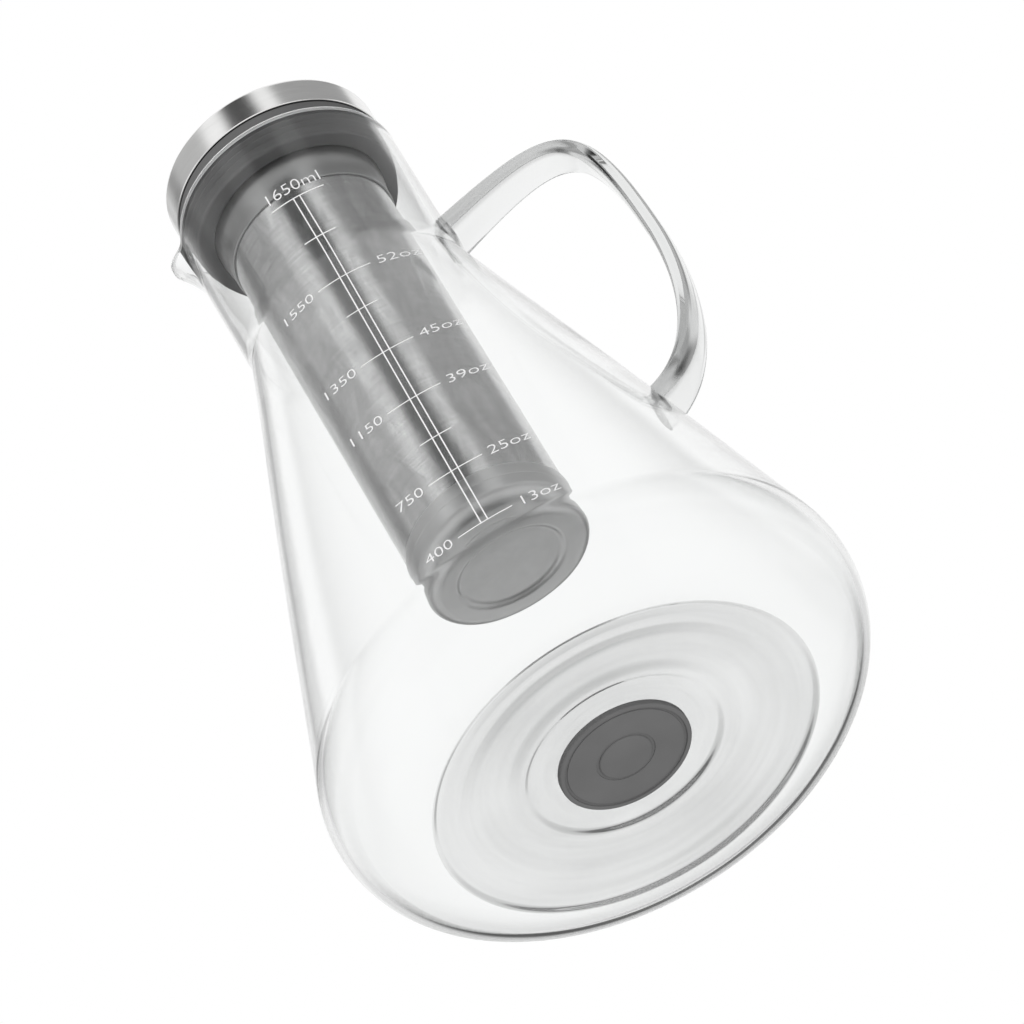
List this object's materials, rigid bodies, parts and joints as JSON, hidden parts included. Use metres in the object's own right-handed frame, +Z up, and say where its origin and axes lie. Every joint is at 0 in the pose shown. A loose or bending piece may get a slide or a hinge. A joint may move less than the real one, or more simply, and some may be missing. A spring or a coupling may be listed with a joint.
{
  "type": "cold brew pitcher",
  "caption": "Conical glass pitcher with a pouring lip and a strap handle, a mesh filter hanging in its neck from a soft collar, and a brushed steel lid.",
  "frame": {"origin": "centre of the foot ring, on the plane that the pitcher stands on", "axes": "+Z up along the pitcher's axis, +X towards the handle, -X towards the pouring lip"},
  "size_m": [0.1554, 0.1498, 0.2376],
  "materials": {
    "glass": "clear blown glass, fire polished",
    "handle_glass": "clear drawn glass strap",
    "pad_silicone": "matte moulded silicone",
    "collar_silicone": "matte moulded silicone",
    "filter_steel": "satin sheet steel",
    "mesh_steel": "fine woven steel mesh",
    "lid_steel": "brushed sheet steel",
    "core_plastic": "fine moulded grain",
    "seal_silicone": "matte moulded silicone"
  },
  "bodies": {
    "carafe": {"glass_carafe": "glass", "glass_handle": "handle_glass", "base_pad": "pad_silicone"},
    "filter": {"neck_collar": "collar_silicone", "filter_sleeve": "filter_steel", "filter_mesh": "mesh_steel", "filter_seam": "filter_steel", "filter_hoop": "filter_steel", "filter_cup": "filter_steel"},
    "lid": {"lid_cap": "lid_steel", "lid_core": "core_plastic", "lid_seal": "seal_silicone"}
  },
  "joints": [
    {"name": "filter_lift", "type": "slide", "parent": "carafe", "child": "filter", "axis": [0, 0, 1], "range_m": [0, 0.165]},
    {"name": "lid_lift", "type": "slide", "parent": "filter", "child": "lid", "axis": [0, 0, 1], "range_m": [0, 0.03]}
  ]
}
